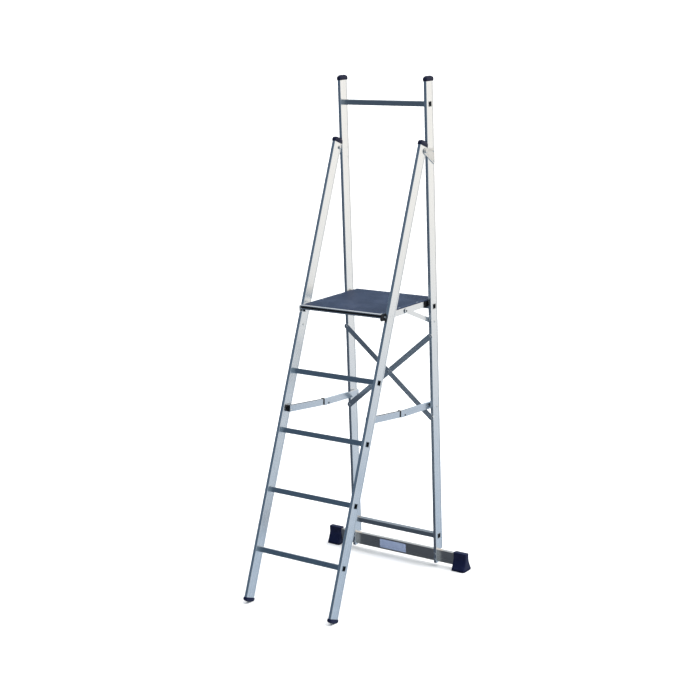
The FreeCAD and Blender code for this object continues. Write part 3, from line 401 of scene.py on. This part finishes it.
def islands(node):
    """The box of each separate solid in a CAD node, sorted by place."""
    to_row = NODES[node].matrix_world
    owner = {}

    def find(key):
        while owner[key] != key:
            owner[key] = owner[owner[key]]
            key = owner[key]
        return key

    keys = []
    mesh = NODES[node].data
    for vertex in mesh.vertices:
        key = tuple(round(part, 6) for part in to_row @ vertex.co)
        owner.setdefault(key, key)
        keys.append(key)
    for face in mesh.polygons:
        corners = [keys[index] for index in face.vertices]
        for corner in corners[1:]:
            owner[find(corner)] = find(corners[0])
    groups = {}
    for key in owner:
        groups.setdefault(find(key), []).append(key)
    return sorted((tuple(min(key[axis] for key in group) for axis in range(3)),
                   tuple(max(key[axis] for key in group) for axis in range(3)))
                  for group in groups.values())


def middle_of(box):
    low, high = box
    return [(low[axis] + high[axis]) / 2 for axis in range(3)]


# ---------------------------------------------------------------- fasteners

# A profile's rings are (depth below the outer end, radius, across-flats radius or 0), in millimetres.

TURN_STEPS = 24


def lathe(shape, axis, outer, sign, centre, profile):
    """Turns a profile about an axis.  The sign is +1 where the outer end faces up the axis."""
    rings = []
    for depth, limit, flat in profile:
        ring = []
        for step in range(TURN_STEPS):
            angle = 2 * math.pi * step / TURN_STEPS
            radius = limit
            if flat:
                from_flat = (angle + math.pi / 6) % (math.pi / 3) - math.pi / 6
                radius = min(limit, flat / math.cos(from_flat))
            point = list(centre)
            point[axis] = outer - sign * depth * MM
            point[(axis + 1) % 3] += radius * math.cos(angle) * MM
            point[(axis + 2) % 3] += radius * math.sin(angle) * MM
            ring.append(tuple(point))
        rings.append(ring)
    shape.add_rings(rings)


def domed(radius, tall):
    """Profile of a domed rivet head, from its crown down to its seat."""
    steps = ((0.0, 0.30), (0.06, 0.50), (0.22, 0.72), (0.45, 0.88), (0.72, 0.97), (0.92, 1.0), (1.0, 0.97))
    return [(tall * depth, radius * wide, 0) for depth, wide in steps]


def washer(start, radius, thick):
    """Profile of a washer or bush with broken edges."""
    face = radius - 0.3
    rim = 0.25
    return [(start, face, 0), (start + rim, radius, 0), (start + thick - rim, radius, 0),
            (start + thick, face, 0)]


def hexagon(start, flat, tall):
    """Profile of a chamfered hexagon nut or head."""
    face = flat * 0.92
    wide = flat / math.cos(math.pi / 6)
    chamfer = 0.12 * tall
    return [(start, face, flat), (start + chamfer, wide, flat), (start + tall - chamfer, wide, flat),
            (start + tall, face, flat)]


def flush(shank):
    """Profile of a bare end with a broken edge."""
    return [(0.0, shank - 0.3, 0), (0.3, shank, 0)]


RIVET_HEAD = domed(5.0, 2.2)
PIN_HEAD = domed(5.0, 1.6)
HINGE_HEAD = hexagon(0, 6.9, 3.8) + washer(3.8, 8.4, 1.2)
# start of the nodes' names, axis, shank radius, outer end and inner end (None for a flush one)
TURNED = (
    ("hinge_bolts", 0, 5.0, HINGE_HEAD, hexagon(0, 6.9, 5.0)),
    ("hinge_rivets", 0, 2.4, RIVET_HEAD, None),
    ("strut_rear_bolts", 0, 4.0, domed(5.5, 2.2), hexagon(0, 6.0, 4.0)),
    ("stay_rear_bolts", 0, 3.5, RIVET_HEAD, hexagon(0, 5.1, 2.7)),
    ("platform_pivot_pins", 0, 4.0, None, hexagon(0, 6.0, 4.5)),
    ("stay_knuckle_pin", 0, 3.5, PIN_HEAD, PIN_HEAD),
    ("stay_front_pin", 0, 3.5, None, PIN_HEAD),
    ("front_stile_rivets", 0, 2.4, None, RIVET_HEAD),
    ("stabiliser_bolts", 1, 2.4, RIVET_HEAD, None),
    ("cross_brace_rivets", 1, 2.4, RIVET_HEAD, RIVET_HEAD),
)
BUSH_START = 16.5                       # a stay's rear bolt: its bush starts just inside the stile
BUSH_LONG = 5.8
BUSH_RADIUS = 6.9


def add_fastener(shape, node, axis, shank, head, tail, box):
    """One rivet, bolt or pin, turned on its CAD solid's own axis."""
    low, high = box
    centre = middle_of(box)
    long, wide = [(high[part] - low[part]) / MM for part in (axis, (axis + 1) % 3)]
    outward = 1 if axis == 0 and centre[0] > 0 else -1
    outer = high[axis] if outward > 0 else low[axis]
    if wide < 2 * shank + 1:
        head = tail = None                          # a flush rivet, all shank
    if node == "cross_brace_rivets" and abs(centre[0]) > 0.1:
        tail = None                                 # only the middle rivet has two heads
    near = head or flush(shank)
    far = tail or flush(shank)
    profile = near + [(near[-1][0], shank, 0)]
    if node == "stay_rear_bolts":
        profile += [(BUSH_START, shank, 0)] + washer(BUSH_START, BUSH_RADIUS, BUSH_LONG)
        profile += [(BUSH_START + BUSH_LONG, shank, 0)]
    profile += [(long - far[-1][0], shank, 0)]
    profile += [(long - depth, limit, flat) for depth, limit, flat in reversed(far)]
    lathe(shape, axis, outer, outward, centre, profile)


def add_fasteners():
    for start, axis, shank, head, tail in TURNED:
        finish = "dark_steel" if start == "stay_knuckle_pin" else "zinc_steel"
        for node in named(start):
            shape = Shape()
            for box in islands(node):
                add_fastener(shape, node, axis, shank, head, tail, box)
            shape.place("turned_" + node, finish, node)


def add_strut_rivets():
    """The flush face of each strut's front rivet, in dark steel: partly a real rivet, partly painted shade
    at the joint.
    """
    inset = 11 * MM                     # of the rivet from the strut's front and top
    proud = 0.4 * MM
    for side in SIDES:
        node = "platform_strut_" + side
        low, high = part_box(node)
        outward = 1 if side == "right" else -1
        outer = high[0] if outward > 0 else low[0]
        shape = Shape()
        lathe(shape, 0, outer + outward * proud, outward, (0.0, low[1] + inset, high[2] - inset),
              [(0.0, 1.6, 0), (0.05, 4.2, 0), (0.25, 5.0, 0), (0.8, 5.0, 0)])
        # dark steel here: a real rivet face, darkened as painted shade at the strut's joint
        shape.place("strut_rivet_painted_shade_" + side, "dark_steel", node, instead=False)


def add_screws():
    """Countersunk screws with a hexagon socket, flush with the deck."""
    shape = Shape()
    for box in islands("platform_screws"):
        low, high = box
        long = (high[2] - low[2]) / MM
        socket = [(1.7, 1.7, 1.75), (0.25, 2.0, 1.75), (0.05, 2.3, 0), (0.0, 2.9, 0)]
        head = [(0.0, 4.7, 0), (0.2, 4.95, 0), (2.8, 2.2, 0)]
        lathe(shape, 2, high[2], 1, middle_of(box), socket + head + [(long - 0.3, 2.2, 0), (long, 1.8, 0)])
    shape.place("socket_screws", "zinc_steel", "platform_screws")


# ---------------------------------------------------------------- mouldings

# A moulding's levels are (half width, half depth, corner radius, height or place along the stile), in
# millimetres.

CORNER_STEPS = 6
CAP_LEVELS = (                          # outside the stile's faces, corner radius, above its top
    (0.0, 2.0, 0.0), (0.0, 2.0, -3.0),                                          # on the stile
    (2.3, 3.6, -3.0), (2.8, 4.0, -2.5), (2.8, 4.0, 0.6), (2.2, 3.8, 1.2),       # sleeve
    (2.2, 3.8, 1.8), (3.0, 4.2, 2.6), (3.0, 4.2, 7.0),                          # groove and side
)
FOOT_LEVELS = (                         # outside the stile's faces, corner radius, along the stile
    (0.0, 2.0, STILE_START), (0.0, 2.0, 36.0),                                  # on the stile
    (2.2, 3.6, 36.0), (2.8, 4.0, 35.4), (2.8, 4.0, 33.4), (2.2, 3.8, 32.9),     # lip
    (2.2, 3.8, 32.3), (3.0, 4.2, 31.8), (3.0, 4.2, 28.5),                       # groove and side
)


def rounded_ring(half_x, half_y, radius):
    """Points round a rectangle with rounded corners, about its centre."""
    radius = min(radius, half_x, half_y)
    ring = []
    for corner, (sign_x, sign_y) in enumerate(((1, 1), (-1, 1), (-1, -1), (1, -1))):
        for step in range(CORNER_STEPS + 1):
            angle = math.radians(90 * corner + 90 * step / CORNER_STEPS)
            ring.append((sign_x * (half_x - radius) + radius * math.cos(angle),
                         sign_y * (half_y - radius) + radius * math.sin(angle)))
    return ring


def crown(start, rise, narrow, shallow, steps, turn):
    """Levels that round off a moulding beyond a start level, in steps of so many degrees.  It rises
    along the stile while its half width and half depth draw in."""
    half_x, half_y, corner, along = start
    levels = []
    for step in range(1, steps + 1):
        angle = math.radians(turn * step)
        fall = 1 - math.cos(angle)
        levels.append((half_x - narrow * fall, half_y - shallow * fall, corner + fall,
                       along + rise * math.sin(angle)))
    return levels


def stile_place(side, deep, along, leaning):
    """Where a point of a front (leaning) or rear stile's own frame lies, in metres."""
    if not leaning:
        return side, REAR_FACE + deep, along
    return (side, TOE_LINE + deep * math.cos(TILT) + along * math.sin(TILT),
            along * math.cos(TILT) - deep * math.sin(TILT))


def stile_levels(rows, base):
    """Levels about a stile's axis, from rows of (outside its faces, corner radius, beyond the base)."""
    return [(STILE_WIDE / 2 + out, STILE_DEEP / 2 + out, corner, base + along)
            for out, corner, along in rows]


def stile_rings(stile, levels):
    """Rings of points at levels about a stile's own axis."""
    leaning = stile.startswith("front")
    middle = middle_of(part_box(stile))[0]
    rings = []
    for half_x, half_y, corner, along in levels:
        rings.append([stile_place(middle + x, STILE_DEEP / 2 * MM + y, along * MM, leaning)
                      for x, y in rounded_ring(half_x * MM, half_y * MM, corner * MM)])
    return rings


def add_caps():
    """Moulded stile caps: a thin sleeve, a groove above it and a long crowned top."""
    for node in named("front_cap", "rear_cap"):
        leaning = node.startswith("front")
        levels = stile_levels(CAP_LEVELS, (FRONT_TOP if leaning else REAR_TOP) / MM)
        levels += crown(levels[-1], 13.8, 8.0, 21.0, 9, 9.5)
        rings = stile_rings(node.replace("cap", "stile"), levels)
        if leaning:
            rings = [[(x, min(y, RELIEF), z) for x, y, z in ring] for ring in rings]
        shape = Shape()
        shape.add_rings(rings)
        shape.place("moulded_" + node, "navy_plastic", node)


def add_feet():
    """Rubber caps on the lower ends of the front stiles, crowned, with a worn flat on the floor."""
    for side in SIDES:
        node = "front_foot_" + side
        levels = stile_levels(FOOT_LEVELS, 0.0)
        levels += crown(levels[-1], -12.4, 8.0, 23.0, 11, 8.0)
        rings = stile_rings("front_stile_" + side, levels)
        shape = Shape()
        shape.add_rings([[(x, y, max(z, 0.0)) for x, y, z in ring] for ring in rings])
        shape.place("moulded_" + node, "navy_rubber", node)


def boot_levels():
    """A sole with three ribs, a flare that sweeps up into a sleeve, and a rounded lip."""
    levels = [(33.5, 30.5, 6.0, 0.0), (34.6, 32.2, 6.5, 0.8)]
    for height in (2.4, 5.4, 8.4):
        levels += [(36.0, 34.6, 7.0, height - 0.9), (36.0, 34.6, 7.0, height + 0.9),
                   (35.2, 33.8, 6.6, height + 1.2), (35.2, 33.8, 6.6, height + 1.8)]
    steps = 12
    for step in range(steps + 1):
        part = step / steps
        sweep = (1 - part) ** 1.35
        levels.append((35.6 - 0.4 * part, 13.4 + 20.6 * sweep, 7.0 - 4.0 * part, 11.0 + 50.0 * part))
    return levels + [(35.2, 13.4, 3.0, 80.0), (35.9, 13.5, 3.2, 80.6), (35.9, 13.5, 3.2, 85.6),
                     (35.2, 12.8, 2.8, 87.0), (33.6, 11.2, 2.2, 87.8)]


def add_boots():
    """Rubber boots over the stabiliser bar's ends."""
    depth = middle_of(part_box("stabiliser_bar"))[1]
    for side in SIDES:
        node = "stabiliser_boot_" + side
        middle = middle_of(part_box(node))[0]
        shape = Shape()
        shape.add_rings([[(middle + x, depth + y, height * MM)
                          for x, y in rounded_ring(half_x * MM, half_y * MM, corner * MM)]
                         for half_x, half_y, corner, height in boot_levels()])
        shape.place("moulded_" + node, "navy_rubber", node)


def add_label():
    """The blank plate: rounded corners and a raised frame round its empty field."""
    low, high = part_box("blank_label")
    middle = middle_of((low, high))
    half_x, half_z = [(high[axis] - low[axis]) / 2 / MM for axis in (0, 2)]
    corner = 4.0
    rings = []
    for inset, out in ((0.0, 0.0), (0.0, 0.28), (0.2, 0.38), (2.2, 0.38), (2.5, 0.2), (3.2, 0.2)):
        outline = rounded_ring((half_x - inset) * MM, (half_z - inset) * MM, (corner - inset) * MM)
        rings.append([(middle[0] + x, high[1] - out * MM, middle[2] + z) for x, z in outline])
    shape = Shape()
    shape.add_rings(rings)
    shape.place("framed_label", "label_sheet", "blank_label", sharp=20.0)


# ---------------------------------------------------------------- CAD pieces that stay

def keep_out_of_mirrors(names):
    """The bright side faces of the stiles don't mirror the dark deck, as brushed metal hardly would."""
    for name in names:
        NODES[name].visible_glossy = False


def soften_edges(names, width):
    """Breaks the sharp edges of CAD pieces by a small bevel."""
    for name in names:
        weld = NODES[name].modifiers.new("weld", "WELD")
        weld.merge_threshold = 0.01 * MM
        bevel = NODES[name].modifiers.new("bevel", "BEVEL")
        bevel.width = width * MM
        bevel.segments = 2
        bevel.limit_method = "ANGLE"
        bevel.angle_limit = math.radians(40)


finish_nodes()
add_fasteners()
add_strut_rivets()
add_screws()
add_caps()
add_boots()
add_feet()
add_label()
soften_edges(named("hinge_plate", "platform_ear", "platform_strut", "cross_brace_front",
                   "cross_brace_back"), 0.5)
soften_edges(named("platform_hook", "stay_end", "stay_knuckle_left", "stay_knuckle_right"), 0.8)
soften_edges(named("platform_edge_strip", "platform_front_edge"), 0.35)
keep_out_of_mirrors(named("platform_deck", "platform_front_edge", "platform_edge_strip"))

add_camera()
add_world()
add_daylight()
add_floor()
bpy.context.scene.view_settings.view_transform = "Standard"
